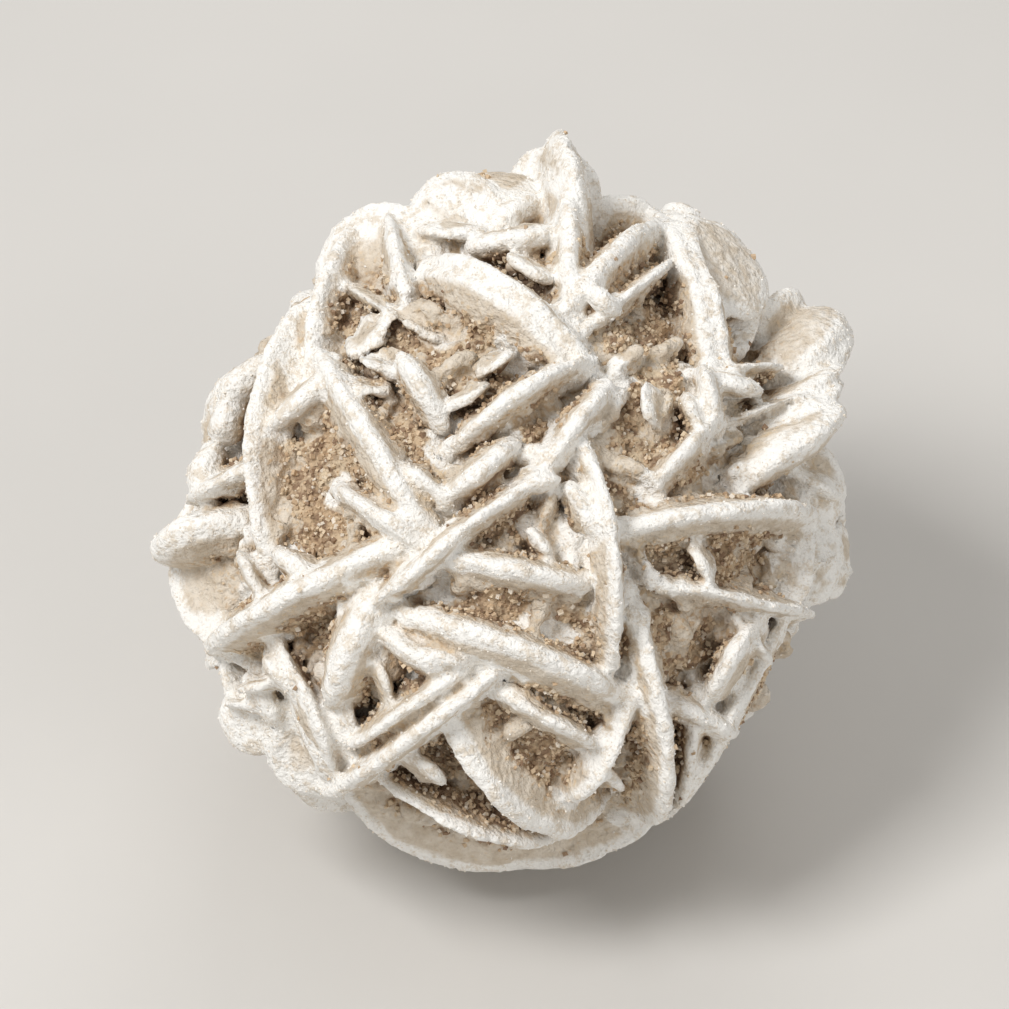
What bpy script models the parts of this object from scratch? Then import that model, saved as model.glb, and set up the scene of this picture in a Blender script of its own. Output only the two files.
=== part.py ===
"""A gypsum sand rose: a fist of intergrown lens-shaped crystals, with sand between them.

Run with: blender --background --python part.py
The stone grew as one piece, so it is one solid: every crystal is joined to the sandy mass it grew from.
Lengths in the tables are millimetres. The object is built in metres, with +Z up, and rests on z = 0.
"""

import math
import random

import bmesh
import bpy
from mathutils import Matrix, Vector

MM = 0.001

# The rounded envelope that the crystals' edges reach, and where its middle stands above the table.
HALF_WIDTH = 18.2
HALF_DEPTH = 18.4
HALF_HEIGHT = 17.8
MIDDLE_HEIGHT = 17.4

# The front crystals are set out on a sight plane, seen from the front and from above. Its zero is the
# middle of the outline, and the envelope's middle lies below it because one crystal stands tall at the top.
SIGHT_ELEVATION = math.radians(42)
SIGHT_DROP = 1.2

# How far an edge dives under its neighbours at its two ends, and how deep the sand lies between the edges.
END_SINK = 1.3
SAND_DEPTH = 2.0
SAND_LUMP = 0.45
SAND_DIVISIONS = 3
SAND_SEED = 5

# Crystal shape: the shares of the radius and of the thickness at the flat face and at the blunt edge.
FACE_SHARE = 0.66
EDGE_SHARE = 0.42
LARGEST_RADIUS = 10.0
FACET_LENGTH = 3.3
FEWEST_SIDES = 8
MOST_SIDES = 20

# The flat crystal that the stone rests on.
FOOT_RADIUS = 7.2
FOOT_THICKNESS = 3.0

STONE_COLOUR = (0.72, 0.66, 0.58, 1.0)

# Edges seen from the front: start and end on the sight plane (across, up, across, up), then how far the
# crest bows to the left of that run, how far it stands out of the envelope, and the crystal's thickness.
FRONT_EDGES = [
    # the long left-hand wall and the crystals leaning on it
    (-9.0, 13.0, -12.3, -5.0, -2.3, 0.6, 2.0),
    (-9.8, 7.8, -3.6, -2.0, 0.2, 0.6, 2.5),
    (-12.2, 4.0, -9.2, 6.6, 0.0, 0.0, 1.2),
    (-12.0, -2.4, -9.4, -3.9, 0.0, 0.0, 1.2),
    (-8.6, 0.9, -3.6, -2.6, 0.0, 0.2, 1.2),
    # the crossing in the middle
    (2.6, 2.4, -7.2, -5.6, 0.0, 0.8, 1.5),
    (-4.6, -1.8, -15.8, -8.0, -0.6, 0.9, 2.7),
    (-6.6, -4.6, -9.0, -10.6, -0.2, 0.7, 2.4),
    (-3.4, -2.7, 4.4, -4.1, 0.2, 0.4, 1.8),
    (3.2, 1.2, 4.8, -1.8, 0.0, 0.1, 1.0),
    (4.1, 3.4, 5.7, -8.2, 0.5, 0.9, 1.6),
    (-3.0, 0.2, 0.6, 3.2, 0.0, 0.3, 1.3),
    # above the middle
    (-4.7, 8.2, -3.2, 4.3, 0.0, 0.6, 2.0),
    (-4.2, 12.8, 3.8, 7.6, 0.5, 0.7, 2.9),
    (4.3, 7.6, -2.6, 3.2, -0.2, 0.6, 1.4),
    (2.8, 9.9, 8.6, 14.6, 0.5, 0.5, 2.5),
    (7.6, 16.6, 11.3, 7.2, 0.0, 0.8, 2.0),
    (4.2, 16.0, 8.8, 14.6, 0.3, 0.8, 2.2),
    (8.6, 15.2, 13.6, 9.8, 1.4, 0.1, 1.5),
    (8.3, 15.8, 10.6, 14.8, 0.3, 0.3, 1.2),
    (13.6, 10.2, 15.9, 9.8, 0.6, 1.0, 1.3),
    (5.6, 6.3, 1.9, 1.8, 0.0, 0.2, 1.9),
    (-1.4, 13.5, 2.9, 14.2, 0.0, 0.1, 1.3),
    (5.3, 10.0, 8.9, 12.9, 0.0, 0.0, 1.0),
    (4.2, 11.2, 6.0, 9.9, 0.0, 0.0, 1.0),
    # the rough pocket at the right
    (10.2, 7.2, 11.1, 3.8, -0.1, 0.1, 1.0),
    (11.0, 4.4, 8.0, 1.3, -0.2, 0.0, 1.0),
    (10.6, 6.4, 13.6, 5.8, 0.0, 0.0, 1.0),
    # the right-hand side
    (5.6, -1.2, 16.4, -0.6, 0.6, 0.7, 2.5),
    (8.8, -4.2, 16.2, -5.8, 0.1, 0.4, 1.3),
    (16.9, 2.2, 18.1, -1.4, 0.4, 0.1, 1.3),
    (18.0, -1.2, 17.6, -4.9, 0.3, 0.1, 1.3),
    (15.2, 1.6, 18.8, -0.4, 0.0, 0.3, 1.0),
    (15.8, 1.0, 15.7, -4.8, 0.9, -0.3, 1.5),
    (15.0, -1.3, 18.6, -2.6, 0.0, 0.2, 1.0),
    (14.8, -3.2, 18.3, -5.0, 0.0, 0.2, 1.0),
    (14.0, -7.4, 8.4, -16.8, 0.4, 0.0, 1.3),
    (13.4, -5.8, 10.6, -10.2, -0.3, 0.0, 1.2),
    # below the middle
    (-4.8, -5.6, 6.2, -9.8, 0.6, 0.6, 2.5),
    (-6.4, -6.6, -2.8, -8.8, 0.0, 0.2, 1.2),
    (0.3, -8.0, -9.9, -15.4, 0.0, 0.8, 2.0),
    (-1.8, -8.2, -8.3, -12.6, 0.0, 0.7, 1.2),
    (-3.2, -11.0, 3.8, -17.2, -1.1, 0.6, 2.7),
    (6.6, -10.2, 3.4, -15.6, 0.5, 0.3, 1.3),
    (0.0, -9.8, 5.0, -12.4, 0.0, 0.0, 1.1),
    (6.9, -5.8, 7.6, -17.0, 0.8, 0.8, 2.1),
    (8.7, -10.4, 12.2, -12.0, 0.0, 0.3, 1.4),
    (9.9, -11.2, 9.2, -15.8, 0.0, 0.2, 1.2),
    # the underside's edges, as far as they show
    (-10.0, -15.4, 5.3, -19.1, -2.0, 0.2, 2.3),
    (-1.0, -19.6, 8.4, -17.0, -0.8, 0.2, 1.5),
    (-6.8, -14.2, 2.5, -17.8, -0.6, 0.4, 1.3),
    # the lower left
    (-11.6, -7.2, -9.2, -14.6, 0.8, 0.3, 1.1),
    (-12.0, -11.5, -9.6, -16.2, -0.9, 0.3, 1.7),
    (-14.9, -8.6, -12.9, -12.8, -0.4, 0.1, 1.5),
    (-13.6, -8.9, -11.8, -11.8, 0.0, -0.1, 1.1),
    # the left-hand outline
    (-17.7, -1.8, -15.2, -7.8, -0.8, 0.2, 1.7),
    (-15.0, 5.2, -12.4, 7.5, 0.1, 0.4, 1.6),
    (-15.0, 3.2, -14.1, 6.0, 0.1, 0.1, 1.6),
    (-16.2, 0.2, -15.2, 3.0, 0.1, 0.1, 1.4),
    (-16.6, 0.1, -13.4, 1.8, 0.0, 0.2, 1.1),
    (-10.5, 7.4, -5.4, 16.3, 1.3, 0.4, 2.1),
    (-6.4, 17.2, -5.4, 12.2, 0.0, 0.5, 1.5),
    (-4.5, 15.7, -0.2, 15.4, 1.3, 0.2, 1.9),
]

# Crystals that stand past the outline: where the edge rises on the sight plane, its tip, the turn that
# shows one of its faces, and its thickness.
STANDING_TIPS = [
    (3.4, 10.0, 2.8, 20.1, 2.0, 3.2),
    (11.8, 4.4, 18.8, 9.6, 1.9, 3.0),
    (12.0, 3.3, 18.1, 6.4, 0.6, 1.3),
    (9.3, -0.1, 17.8, 4.9, 0.5, 2.8),
    (-12.6, -0.9, -18.8, -2.4, -0.5, 2.1),
]

# The side turned away has edges of the same habit: their number, length, bow, rise and thickness. Those
# close behind the outline are short and low.
BACK_SEED = 37
BACK_EDGES = 112
BACK_LIMIT = 0.06
OUTLINE_LIMIT = 0.32
OUTLINE_SHARE = 0.6
OUTLINE_RISE = -0.9
BACK_LENGTH = (6.5, 14.5)
BACK_SCATTER = 0.25
BACK_BOW = 1.6
BACK_RISE = (0.0, 0.9)
BACK_THICKNESS = (1.4, 2.7)

AWAY = Vector((0.0, math.cos(SIGHT_ELEVATION), -math.sin(SIGHT_ELEVATION)))
SIGHT_UP = Vector((0.0, math.sin(SIGHT_ELEVATION), math.cos(SIGHT_ELEVATION)))
SIGHT_ACROSS = Vector((1.0, 0.0, 0.0))
HALVES = Vector((HALF_WIDTH, HALF_DEPTH, HALF_HEIGHT))


def clear_scene():
    for obj in list(bpy.data.objects):
        bpy.data.objects.remove(obj)


def stone_material():
    material = bpy.data.materials.new("sand_rose")
    material.use_nodes = True
    shader = material.node_tree.nodes["Principled BSDF"]
    shader.inputs["Base Color"].default_value = STONE_COLOUR
    shader.inputs["Roughness"].default_value = 0.9
    shader.inputs["Metallic"].default_value = 0.0
    return material


def shrunk(point):
    """The point in the space where the envelope is a ball of radius one."""
    return Vector([p / half for p, half in zip(point, HALVES)])


def on_sight_line(across, up, rise=0.0):
    """The envelope's near side behind a place on the sight plane, moved out by rise. Past the outline it
    is the nearest point of that sight line."""
    foot = SIGHT_ACROSS * across + SIGHT_UP * (up + SIGHT_DROP)
    start, step = shrunk(foot), shrunk(AWAY)
    a, b, c = step.dot(step), start.dot(step), start.dot(start) - 1.0
    reach = max(b * b - a * c, 0.0)
    point = foot + AWAY * ((-b - math.sqrt(reach)) / a)
    return point + point.normalized() * rise


def rim_through(first, crest, last):
    """The centre, radius, face normal and crest direction of the round rim through three points."""
    p, q = first - crest, last - crest
    normal = p.cross(q)
    offset = (q * p.length_squared - p * q.length_squared).cross(normal) / (2.0 * normal.length_squared)
    radius = min(offset.length, LARGEST_RADIUS)
    outward = -offset.normalized()
    return crest - outward * radius, radius, normal.normalized(), outward


def front_rim(across1, up1, across2, up2, bow, rise):
    run = Vector((across2 - across1, up2 - up1)).normalized()
    middle = Vector((across1 + across2, up1 + up2)) / 2.0 + Vector((-run.y, run.x)) * bow
    first = on_sight_line(across1, up1) + AWAY * END_SINK
    last = on_sight_line(across2, up2) + AWAY * END_SINK
    return rim_through(first, on_sight_line(middle.x, middle.y, rise), last)


def tip_rim(across, up, tip_across, tip_up, turn):
    """A rim that rises on the near side, passes the tip and goes down on the far side, moved by turn."""
    near = on_sight_line(across, up)
    tip = on_sight_line(tip_across, tip_up)
    run = Vector((tip_across - across, tip_up - up)).normalized()
    aside = (SIGHT_UP * run.x - SIGHT_ACROSS * run.y) * turn * 2.0
    far = near + AWAY * (2.0 * (tip - near).dot(AWAY)) + aside
    return rim_through(near, tip, far)


def back_rims():
    """Rims spread evenly over the side turned away, each at its own heading."""
    chance = random.Random(BACK_SEED)
    golden_turn = math.pi * (3.0 - math.sqrt(5.0))
    for index in range(BACK_EDGES):
        height = 1.0 - 2.0 * (index + 0.5) / BACK_EDGES
        around = golden_turn * index + chance.uniform(-BACK_SCATTER, BACK_SCATTER)
        ring = math.sqrt(1.0 - height * height)
        out = Vector((ring * math.cos(around), ring * math.sin(around), height))
        heading, length = chance.uniform(0.0, math.pi), chance.uniform(*BACK_LENGTH)
        bow, rise = chance.uniform(-BACK_BOW, BACK_BOW), chance.uniform(*BACK_RISE)
        thickness = chance.uniform(*BACK_THICKNESS)
        if out.dot(AWAY) < BACK_LIMIT:
            continue
        if out.dot(AWAY) < OUTLINE_LIMIT:
            length, bow, rise = length * OUTLINE_SHARE, bow * OUTLINE_SHARE, OUTLINE_RISE
        side = out.orthogonal().normalized()
        along = Matrix.Rotation(heading, 3, out) @ side
        across = out.cross(along)
        ends = [out * HALF_HEIGHT + along * (sign * length / 2.0) for sign in (-1.0, 1.0)]
        first, last = [settle(end, min(rise, 0.0) - END_SINK) for end in ends]
        yield rim_through(first, settle(out * HALF_HEIGHT + across * bow, rise), last), thickness


def settle(point, rise):
    """The point brought to the envelope along the line to its middle, then moved out by rise."""
    return point / shrunk(point).length + point.normalized() * rise


def crystal(name, rim, thickness, collection):
    """One lens-shaped crystal: flat faces, sloping flanks and a blunt edge, with its crest outward."""
    centre, radius, normal, outward = rim
    sides = round(2.0 * math.pi * radius / FACET_LENGTH)
    sides = max(FEWEST_SIDES, min(MOST_SIDES, sides))
    mesh = bmesh.new()
    levels = [
        (FACE_SHARE, 0.5),
        (1.0, EDGE_SHARE / 2.0),
        (1.0, -EDGE_SHARE / 2.0),
        (FACE_SHARE, -0.5),
    ]
    rings = []
    for share, level in levels:
        ring = []
        for side in range(sides):
            angle = 2.0 * math.pi * (side + 0.5) / sides
            place = (math.cos(angle) * radius * share, math.sin(angle) * radius * share, level * thickness)
            ring.append(mesh.verts.new(place))
        rings.append(ring)
    for upper, lower in zip(rings, rings[1:]):
        for side in range(sides):
            after = (side + 1) % sides
            mesh.faces.new((upper[side], lower[side], lower[after], upper[after]))
    mesh.faces.new(rings[0])
    mesh.faces.new(reversed(rings[-1]))
    turn = Matrix((outward, normal.cross(outward), normal)).transposed()
    place = Matrix.Translation(centre + Vector((0.0, 0.0, MIDDLE_HEIGHT))) @ turn.to_4x4()
    bmesh.ops.transform(mesh, matrix=Matrix.Scale(MM, 4) @ place, verts=mesh.verts)
    bmesh.ops.recalc_face_normals(mesh, faces=mesh.faces)
    return object_of(name, mesh, collection)


def object_of(name, mesh, collection):
    data = bpy.data.meshes.new(name)
    mesh.to_mesh(data)
    mesh.free()
    obj = bpy.data.objects.new(name, data)
    collection.objects.link(obj)
    return obj


def sandy_mass(collection):
    """The lumpy mass of sand and crystal that the edges stand out of."""
    chance = random.Random(SAND_SEED)
    mesh = bmesh.new()
    bmesh.ops.create_icosphere(mesh, subdivisions=SAND_DIVISIONS, radius=1.0)
    for vert in mesh.verts:
        out = vert.co.normalized()
        depth = SAND_DEPTH + chance.uniform(-SAND_LUMP, SAND_LUMP)
        place = Vector([part * half for part, half in zip(out, HALVES)]) - out * depth
        vert.co = (place + Vector((0.0, 0.0, MIDDLE_HEIGHT))) * MM
    return object_of("sand_rose", mesh, collection)


def foot_crystal(collection):
    """The crystal that lies flat under the stone, with its lower face on the table."""
    rim = (
        Vector((0.0, 0.0, FOOT_THICKNESS / 2.0 - MIDDLE_HEIGHT)),
        FOOT_RADIUS,
        Vector((0.0, 0.0, 1.0)),
        Vector((1.0, 0.0, 0.0)),
    )
    return crystal("foot", rim, FOOT_THICKNESS, collection)


def ground_cutter(collection):
    """Everything below the table, which the crystals' lowest edges are worn down to."""
    size = 6.0 * HALF_WIDTH * MM
    mesh = bmesh.new()
    bmesh.ops.create_cube(mesh, size=size)
    bmesh.ops.translate(mesh, vec=(0.0, 0.0, -size / 2.0), verts=mesh.verts)
    return object_of("ground", mesh, collection)


def boolean(obj, operation, **operand):
    modifier = obj.modifiers.new(operation.lower(), "BOOLEAN")
    modifier.operation = operation
    modifier.solver = "EXACT"
    modifier.use_self = operation == "UNION"
    for key, value in operand.items():
        setattr(modifier, key, value)
    with bpy.context.temp_override(object=obj, active_object=obj):
        bpy.ops.object.modifier_apply(modifier=modifier.name)


def keep_outer_skin(obj):
    """Drops sealed pockets left between crystals, so the stone is one body."""
    mesh = bmesh.new()
    mesh.from_mesh(obj.data)
    left = set(mesh.faces)
    shells = []
    while left:
        shell, queue = set(), [left.pop()]
        while queue:
            face = queue.pop()
            shell.add(face)
            near = {other for edge in face.edges for other in edge.link_faces} & left
            left -= near
            queue.extend(near)
        shells.append(shell)
    outer = max(shells, key=len)
    bmesh.ops.delete(mesh, geom=[face for face in mesh.faces if face not in outer], context="FACES")
    mesh.to_mesh(obj.data)
    mesh.free()


def centre_on_origin(obj):
    """Brings the middle of the stone's box over the origin."""
    corners = [obj.matrix_world @ Vector(corner) for corner in obj.bound_box]
    shift = [-(min(c[axis] for c in corners) + max(c[axis] for c in corners)) / 2.0 for axis in (0, 1)]
    obj.data.transform(Matrix.Translation((*shift, 0.0)))


def build():
    clear_scene()
    scene = bpy.context.scene.collection
    parts = bpy.data.collections.new("crystals")
    scene.children.link(parts)
    stone = sandy_mass(scene)
    stone.data.materials.append(stone_material())
    foot_crystal(parts)
    for number, (*run, thickness) in enumerate(FRONT_EDGES):
        crystal(f"front_{number}", front_rim(*run), thickness, parts)
    for number, (*run, thickness) in enumerate(STANDING_TIPS):
        crystal(f"tip_{number}", tip_rim(*run), thickness, parts)
    for number, (rim, thickness) in enumerate(back_rims()):
        crystal(f"back_{number}", rim, thickness, parts)
    ground = ground_cutter(scene)
    boolean(stone, "UNION", operand_type="COLLECTION", collection=parts)
    boolean(stone, "DIFFERENCE", object=ground)
    for obj in list(parts.objects) + [ground]:
        bpy.data.objects.remove(obj)
    keep_outer_skin(stone)
    centre_on_origin(stone)


build()
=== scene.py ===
"""A gypsum sand rose: lens-shaped crystals grown through each other, and the sand they hold.

Lengths in the tables are millimetres, as in the solid's source. Everything built is in metres.
"""

import math
import random

import bmesh
import bpy
import numpy as np
from bpy.props import FloatProperty, FloatVectorProperty, IntProperty, PointerProperty
from mathutils import Euler, Matrix, Vector
from mathutils.bvhtree import BVHTree


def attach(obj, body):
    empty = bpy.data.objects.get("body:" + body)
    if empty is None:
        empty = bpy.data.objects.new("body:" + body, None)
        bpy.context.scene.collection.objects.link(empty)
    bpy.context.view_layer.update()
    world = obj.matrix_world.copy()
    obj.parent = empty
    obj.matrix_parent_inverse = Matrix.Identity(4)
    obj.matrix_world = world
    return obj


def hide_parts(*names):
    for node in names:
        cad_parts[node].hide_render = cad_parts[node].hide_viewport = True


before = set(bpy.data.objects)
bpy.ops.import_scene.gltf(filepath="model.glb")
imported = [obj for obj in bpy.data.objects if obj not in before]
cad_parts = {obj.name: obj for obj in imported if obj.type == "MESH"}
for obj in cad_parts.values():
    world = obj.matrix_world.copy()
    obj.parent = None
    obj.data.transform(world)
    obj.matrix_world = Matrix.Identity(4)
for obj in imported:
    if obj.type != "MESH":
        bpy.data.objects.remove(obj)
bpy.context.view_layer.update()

bl_info = {
    "name": "Sand rose",
    "version": (1, 0, 0),
    "blender": (4, 5, 0),
    "location": "3D View > Sidebar > Sand rose",
    "description": "Builds a gypsum sand rose with its crystals, its sand and a plain stage",
    "category": "Add Mesh",
}

MM = 0.001

# The rounded envelope that the crystals' edges reach, and the place of its middle in the frame.
HALVES = Vector((18.2, 18.4, 17.8))
MIDDLE = Vector((-0.141, 0.174, 17.4))

# The sight plane: seen from the front and from above, with its zero at the middle of the outline.
SIGHT_ELEVATION = math.radians(42)
SIGHT_DROP = 1.2
AWAY = Vector((0.0, math.cos(SIGHT_ELEVATION), -math.sin(SIGHT_ELEVATION)))
SIGHT_UP = Vector((0.0, math.sin(SIGHT_ELEVATION), math.cos(SIGHT_ELEVATION)))
SIGHT_ACROSS = Vector((1.0, 0.0, 0.0))

# How far under the envelope a crest's ends lie, the depth of the sand, and the largest radius of a crystal
# seen edge on.
END_SINK = 1.3
SAND_DEPTH = 2.7
LARGEST_RADIUS = 10.0

# Edges seen from the front: start and end on the sight plane (across, up, across, up), then how far the
# crest bows to the left of that run, how far it stands out of the envelope, and the crystal's thickness.
FRONT_EDGES = [
    # the long left-hand wall and the crystals leaning on it
    (-9.0, 13.0, -12.3, -5.0, -2.3, 0.6, 2.0),
    (-9.8, 7.8, -3.6, -2.0, 0.2, 0.6, 2.5),
    (-12.2, 4.0, -9.2, 6.6, 0.0, 0.0, 1.2),
    (-12.0, -2.4, -9.4, -3.9, 0.0, 0.0, 1.2),
    (-8.6, 0.9, -3.6, -2.6, 0.0, 0.2, 1.2),
    # the crossing in the middle
    (2.6, 2.4, -7.2, -5.6, 0.0, 0.8, 1.5),
    (-4.6, -1.8, -15.8, -8.0, -0.6, 0.9, 2.7),
    (-6.6, -4.6, -9.0, -10.6, -0.2, 0.7, 2.4),
    (-3.4, -2.7, 4.4, -4.1, 0.2, 0.4, 1.8),
    (3.2, 1.2, 4.8, -1.8, 0.0, 0.1, 1.0),
    (4.1, 3.4, 5.7, -8.2, 0.5, 0.9, 1.6),
    (-3.0, 0.2, 0.6, 3.2, 0.0, 0.3, 1.3),
    # above the middle
    (-5.3, 7.7, -3.3, 4.3, 0.0, 0.5, 1.3),
    (-4.2, 12.8, 3.8, 7.6, 0.5, 0.7, 2.9),
    (4.3, 7.6, -2.6, 3.2, -0.2, 0.6, 1.4),
    (3.4, 10.2, 2.9, 17.8, 0.0, 0.8, 2.5),
    (2.8, 9.9, 8.6, 14.6, 0.5, 0.5, 2.7),
    (7.6, 16.6, 11.3, 7.2, 0.3, 0.8, 2.8),
    (4.2, 16.0, 8.8, 14.6, 0.3, 0.8, 2.2),
    (8.6, 15.2, 13.6, 9.8, 1.4, 0.1, 1.5),
    (8.3, 15.8, 10.6, 14.8, 0.3, 0.3, 1.2),
    (13.6, 10.2, 15.9, 9.8, 0.6, 1.0, 1.3),
    (5.6, 6.3, 1.9, 1.8, 0.0, 0.2, 1.4),
    (-1.4, 13.5, 2.9, 14.2, 0.0, 0.1, 1.3),
    (5.3, 10.0, 8.9, 12.9, 0.0, 0.0, 1.0),
    (4.2, 11.2, 6.0, 9.9, 0.0, 0.0, 1.0),
    # the rough pocket at the right
    (10.2, 7.2, 11.1, 3.8, -0.1, 0.1, 1.0),
    (11.0, 4.4, 8.0, 1.3, -0.2, 0.0, 1.0),
    (10.6, 6.4, 13.6, 5.8, 0.0, 0.0, 1.0),
    # the right-hand side
    (5.6, -1.2, 16.4, -0.6, 0.6, 0.7, 2.5),
    (8.8, -4.2, 16.2, -5.8, 0.1, 0.4, 1.3),
    (16.9, 2.2, 18.1, -1.4, 0.4, 0.1, 1.3),
    (18.0, -1.2, 17.6, -4.9, 0.3, 0.1, 1.3),
    (15.2, 1.6, 17.4, 0.4, 0.0, 0.3, 1.0),
    (15.8, 1.0, 15.7, -4.8, 0.9, -0.3, 1.5),
    (14.0, -7.4, 8.4, -16.8, 0.4, 0.0, 1.3),
    (13.4, -5.8, 10.6, -10.2, -0.3, 0.0, 1.2),
    # below the middle
    (-4.8, -5.6, 6.2, -9.8, 0.6, 0.6, 2.5),
    (-6.4, -6.6, -2.8, -8.8, 0.0, 0.2, 1.2),
    (0.3, -8.0, -9.9, -15.4, 0.0, 0.8, 2.0),
    (-1.8, -8.2, -8.3, -12.6, 0.0, 0.7, 1.2),
    (-3.2, -11.0, 3.8, -17.2, -1.1, 0.6, 2.7),
    (6.6, -10.2, 3.4, -15.6, 0.5, 0.3, 1.3),
    (0.0, -9.8, 5.0, -12.4, 0.0, 0.0, 1.1),
    (6.9, -5.8, 7.6, -17.0, 0.8, 0.8, 2.1),
    (8.7, -10.4, 12.2, -12.0, 0.0, 0.3, 1.4),
    (9.9, -11.2, 9.2, -15.8, 0.0, 0.2, 1.2),
    # the underside's edges, as far as they show
    (-10.0, -15.4, 5.3, -19.1, -2.0, 0.2, 2.3),
    (-1.0, -19.6, 8.4, -17.0, -0.8, 0.2, 1.5),
    (-6.8, -14.2, 2.5, -17.8, -0.6, 0.4, 1.3),
    # the lower left
    (-11.6, -7.2, -9.2, -14.6, 0.8, 0.3, 1.1),
    (-12.0, -11.5, -9.6, -16.2, -0.9, 0.3, 1.7),
    (-14.9, -8.6, -12.9, -12.8, -0.4, 0.1, 1.5),
    (-13.6, -8.9, -11.8, -11.8, 0.0, -0.1, 1.1),
    # the left-hand outline
    (-17.7, -1.8, -15.2, -7.8, -0.8, 0.2, 1.7),
    (-15.0, 5.2, -12.4, 7.5, 0.1, 0.4, 1.6),
    (-15.0, 3.2, -14.1, 6.0, 0.1, 0.1, 1.6),
    (-16.2, 0.2, -15.2, 3.0, 0.1, 0.1, 1.4),
    (-16.6, 0.1, -13.4, 1.8, 0.0, 0.2, 1.1),
    (-10.5, 7.4, -5.4, 16.3, 1.3, 0.4, 2.1),
    (-6.1, 15.2, -5.4, 12.0, 0.0, 0.3, 1.5),
    (-4.5, 15.7, -0.2, 15.4, 1.3, 0.2, 1.9),
    (-0.2, 15.0, 2.2, 16.2, 0.2, 0.0, 2.0),
]

# Thin blades between the large crystals, in the same columns.
THIN_BLADES = [
    (-8.4, 11.6, -4.8, 9.2, 0.2, -0.9, 0.5),
    (-6.4, 9.8, -8.2, 7.6, 0.0, -1.2, 0.5),
    (-7.8, 6.4, -5.8, 5.8, 0.0, -0.8, 0.5),
    (-7.0, 7.4, -5.4, 6.6, 0.1, -0.8, 0.5),
    (-1.6, 6.6, 0.2, 8.0, 0.0, -0.9, 0.5),
    (-3.0, 5.0, -0.8, 6.2, 0.0, -0.3, 0.6),
    (-6.9, -0.2, -4.2, -1.6, 0.0, 0.1, 0.8),
    (-5.4, 2.0, -2.6, -0.2, 0.2, -0.2, 0.9),
    (0.2, 1.0, 2.8, 1.4, 0.0, 0.0, 0.8),
    (1.0, -1.0, 2.6, -2.6, 0.0, -0.8, 0.7),
    (7.6, 6.2, 7.9, 3.8, 0.0, -0.9, 0.5),
    (9.4, 5.8, 10.4, 3.0, 0.0, -0.2, 0.8),
    (12.8, 2.2, 15.8, 3.6, 0.0, 0.0, 0.8),
    (15.8, 1.8, 17.6, 1.0, 0.0, 0.1, 0.7),
    (16.2, -2.8, 18.4, -3.6, 0.0, 0.1, 0.7),
    (9.6, -2.0, 10.8, -3.8, 0.0, -0.6, 0.7),
    (12.4, -6.2, 13.8, -8.2, 0.2, 0.0, 0.8),
    (11.4, -12.6, 9.6, -14.4, 0.1, 0.1, 0.8),
    (12.6, -9.4, 10.4, -13.6, 0.2, 0.1, 0.8),
    (4.4, -12.8, 5.8, -14.6, 0.0, -0.5, 0.7),
    (-5.4, -12.6, -3.2, -14.6, 0.1, -0.4, 0.8),
    (-7.0, -7.6, -5.8, -10.4, 0.0, -0.5, 0.7),
    (-4.6, -7.4, -1.8, -8.2, 0.0, 0.1, 0.8),
    (-13.8, -2.4, -12.2, -5.2, 0.1, 0.2, 0.9),
    (-10.2, -9.6, -8.4, -13.6, 0.2, -0.7, 1.3),
    (-9.4, -8.4, -8.0, -12.4, 0.0, -0.9, 1.0),
    (-12.6, -7.8, -10.8, -10.2, 0.2, 0.0, 0.8),
    (-13.4, -9.6, -11.6, -9.2, 0.1, 0.1, 0.7),
    (-14.2, -10.6, -12.2, -10.8, 0.1, 0.1, 0.7),
    (-10.6, -11.4, -9.4, -14.2, 0.1, 0.2, 0.8),
    (-4.6, 14.6, -1.2, 14.2, 0.0, -0.4, 0.8),
    (0.4, 13.0, 2.4, 11.6, 0.0, -0.4, 0.8),
    (11.8, 7.0, 14.6, 7.2, 0.1, 0.1, 0.8),
    (12.6, 4.6, 16.6, 6.0, 0.0, 0.4, 0.8),
]

# Crystals that show a face or stand past the outline: the middle (across, up and towards the viewer from
# the envelope's middle), how far the face leans to the right and up, the radius and the thickness. A face
# that leans by more than about 3 is seen nearly edge on.
FACES = [
    # the spike at the top and the crystal behind it
    (3.1, 14.9, 2.6, -7.0, -0.3, 5.0, 2.5),
    (2.4, 16.1, 1.2, -0.5, 0.2, 3.0, 1.5),
    # the fan at the right
    (15.2, 7.8, 1.2, -1.6, 2.6, 4.0, 3.2),
    (14.9, 6.0, 3.8, -3.2, 7.0, 3.5, 1.1),
    (14.7, 4.9, 5.0, -3.2, 7.0, 3.6, 1.2),
    (13.8, 2.8, 6.8, -3.5, 6.0, 4.6, 2.4),
    # the point at the left
    (-15.4, -1.7, 6.4, 1.0, -4.0, 3.3, 2.4),
    # the slab at the upper left
    (-6.6, 12.4, 5.2, -0.45, 0.3, 3.7, 1.5),
    # the lobe at the top, and the grey disc at the upper right
    (-2.5, 14.9, 5.0, -0.05, 0.4, 2.8, 1.6),
    (11.3, 12.5, 3.8, 1.1, 1.0, 3.4, 1.4),
    # the lobes down the right-hand outline
    (15.9, 0.8, 5.4, 0.6, 0.1, 2.5, 1.5),
    (15.9, -2.9, 5.4, 0.6, -0.1, 2.4, 1.4),
    # the lobes down the left-hand outline
    (-14.0, 5.4, 5.2, -0.7, 0.2, 1.9, 1.6),
    (-14.9, 1.2, 5.0, -0.7, 0.1, 2.2, 1.5),
    (-15.3, -3.6, 5.2, -0.7, -0.1, 2.8, 1.5),
    (-13.4, -11.4, 5.4, -0.7, -0.4, 1.9, 1.3),
    (-10.4, -13.2, 6.6, -0.5, -0.5, 2.4, 1.3),
]

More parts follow.
